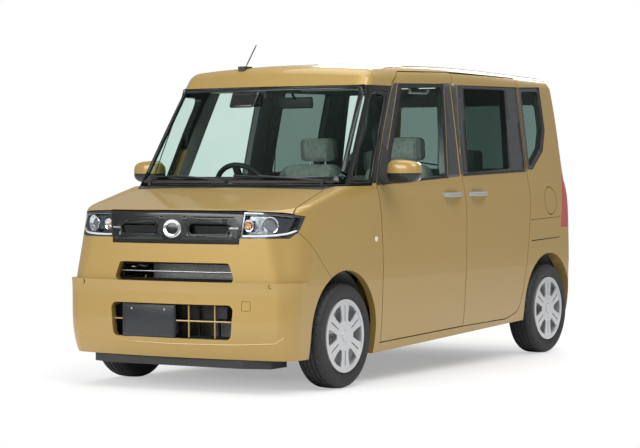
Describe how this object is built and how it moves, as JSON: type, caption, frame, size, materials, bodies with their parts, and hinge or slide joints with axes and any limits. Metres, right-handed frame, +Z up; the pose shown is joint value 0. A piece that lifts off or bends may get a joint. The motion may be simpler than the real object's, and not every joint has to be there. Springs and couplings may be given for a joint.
{
  "type": "tall small passenger car",
  "caption": "Tall one-box small car with hinged front doors, sliding rear doors, a top-hinged tailgate, an opening bonnet and steered front wheels.",
  "frame": {"origin": "on the ground under the middle of the car's length and width", "axes": "+Z up, -Y towards the nose, +X towards the car's left side"},
  "size_m": [1.88, 3.3966, 1.8551],
  "materials": {
    "paint": "metallic mustard paint",
    "black_plastic": "satin black",
    "lamp_silver": "bright reflector",
    "clear_lens": "clear",
    "red_lens": "red lens",
    "glass": "green tint",
    "chrome": "bright",
    "body_steel": "primer dark",
    "cast_iron": "rough",
    "engine_alloy": "cast",
    "exhaust_steel": "dull",
    "tyre": "matt",
    "wheel_silver": "silver paint",
    "dash_plastic": "grained",
    "seat_fabric": "woven"
  },
  "bodies": {
    "body": {"body_sides": "paint", "roof_panel": "paint", "front_fenders": "paint", "front_bumper": "paint", "rear_bumper": "paint", "sliding_doors": "paint", "cowl_panel": "black_plastic", "grille_panel": "black_plastic", "intake_grille": "black_plastic", "wheel_liners": "black_plastic", "under_tray": "black_plastic", "wipers": "black_plastic", "antenna": "black_plastic", "headlamp_housings": "lamp_silver", "headlamp_lenses": "clear_lens", "tail_lamps": "red_lens", "windscreen_glass": "glass", "fixed_glass": "glass", "sliding_door_glass": "glass", "sliding_door_handles": "chrome", "floor_pan": "body_steel", "front_suspension": "cast_iron", "rear_axle": "cast_iron", "engine_block": "engine_alloy", "exhaust": "exhaust_steel", "fuel_tank": "black_plastic", "dashboard": "dash_plastic", "front_seats": "seat_fabric", "rear_seats": "seat_fabric"},
    "steering_wheel": {"steering_wheel": "dash_plastic"},
    "bonnet": {"bonnet": "paint"},
    "tailgate": {"tailgate": "paint", "tailgate_glass": "glass"},
    "front_door_left": {"front_door_left": "paint", "door_glass_left": "glass", "door_mirror_left": "paint", "door_handle_left": "chrome"},
    "front_door_right": {"front_door_right": "paint", "door_glass_right": "glass", "door_mirror_right": "paint", "door_handle_right": "chrome"},
    "fuel_lid": {"fuel_lid": "paint"},
    "knuckle_left": {"knuckle_left": "cast_iron"},
    "knuckle_right": {"knuckle_right": "cast_iron"},
    "wheel_front_left": {"tyre_front_left": "tyre", "wheel_front_left": "wheel_silver"},
    "wheel_front_right": {"tyre_front_right": "tyre", "wheel_front_right": "wheel_silver"},
    "wheel_rear_left": {"tyre_rear_left": "tyre", "wheel_rear_left": "wheel_silver"},
    "wheel_rear_right": {"tyre_rear_right": "tyre", "wheel_rear_right": "wheel_silver"}
  },
  "joints": [
    {"name": "steering_turn", "type": "hinge", "parent": "body", "child": "steering_wheel", "pos_m": [-0.32, -0.5, 1.015], "axis": [0, -0.8988, -0.4384], "range_deg": [-595, 595]},
    {"name": "front_door_left_hinge", "type": "hinge", "parent": "body", "child": "front_door_left", "pos_m": [0.741, -0.735, 0.6], "axis": [0, -0.0349, -0.9994], "range_deg": [0, 65]},
    {"name": "front_door_right_hinge", "type": "hinge", "parent": "body", "child": "front_door_right", "pos_m": [-0.741, -0.735, 0.6], "axis": [0, 0.0349, 0.9994], "range_deg": [0, 65]},
    {"name": "bonnet_hinge", "type": "hinge", "parent": "body", "child": "bonnet", "pos_m": [0, -1.146, 1.056], "axis": [-1, 0, 0], "range_deg": [0, 48]},
    {"name": "tailgate_hinge", "type": "hinge", "parent": "body", "child": "tailgate", "pos_m": [0, 1.668, 1.668], "axis": [1, 0, 0], "range_deg": [0, 85]},
    {"name": "fuel_lid_hinge", "type": "hinge", "parent": "body", "child": "fuel_lid", "pos_m": [0.7345, 1.288, 0.943], "axis": [0, 0, -1], "range_deg": [0, 88]},
    {"name": "knuckle_left_kingpin", "type": "hinge", "parent": "body", "child": "knuckle_left", "pos_m": [0.6, -1.125, 0.277], "axis": [0, 0, 1], "range_deg": [-35.5, 35.5]},
    {"name": "knuckle_right_kingpin", "type": "hinge", "parent": "body", "child": "knuckle_right", "pos_m": [-0.6, -1.125, 0.277], "axis": [0, 0, 1], "range_deg": [-35.5, 35.5]},
    {"name": "wheel_front_left_spin", "type": "hinge", "parent": "knuckle_left", "child": "wheel_front_left", "pos_m": [0.65, -1.125, 0.277], "axis": [1, 0, 0], "continuous": true},
    {"name": "wheel_front_right_spin", "type": "hinge", "parent": "knuckle_right", "child": "wheel_front_right", "pos_m": [-0.65, -1.125, 0.277], "axis": [1, 0, 0], "continuous": true},
    {"name": "wheel_rear_left_spin", "type": "hinge", "parent": "body", "child": "wheel_rear_left", "pos_m": [0.65, 1.335, 0.277], "axis": [1, 0, 0], "continuous": true},
    {"name": "wheel_rear_right_spin", "type": "hinge", "parent": "body", "child": "wheel_rear_right", "pos_m": [-0.65, 1.335, 0.277], "axis": [1, 0, 0], "continuous": true}
  ],
  "couplings": [
    {"joint": "knuckle_left_kingpin", "follows": "steering_turn", "ratio": -0.058824},
    {"joint": "knuckle_right_kingpin", "follows": "steering_turn", "ratio": -0.058824}
  ]
}
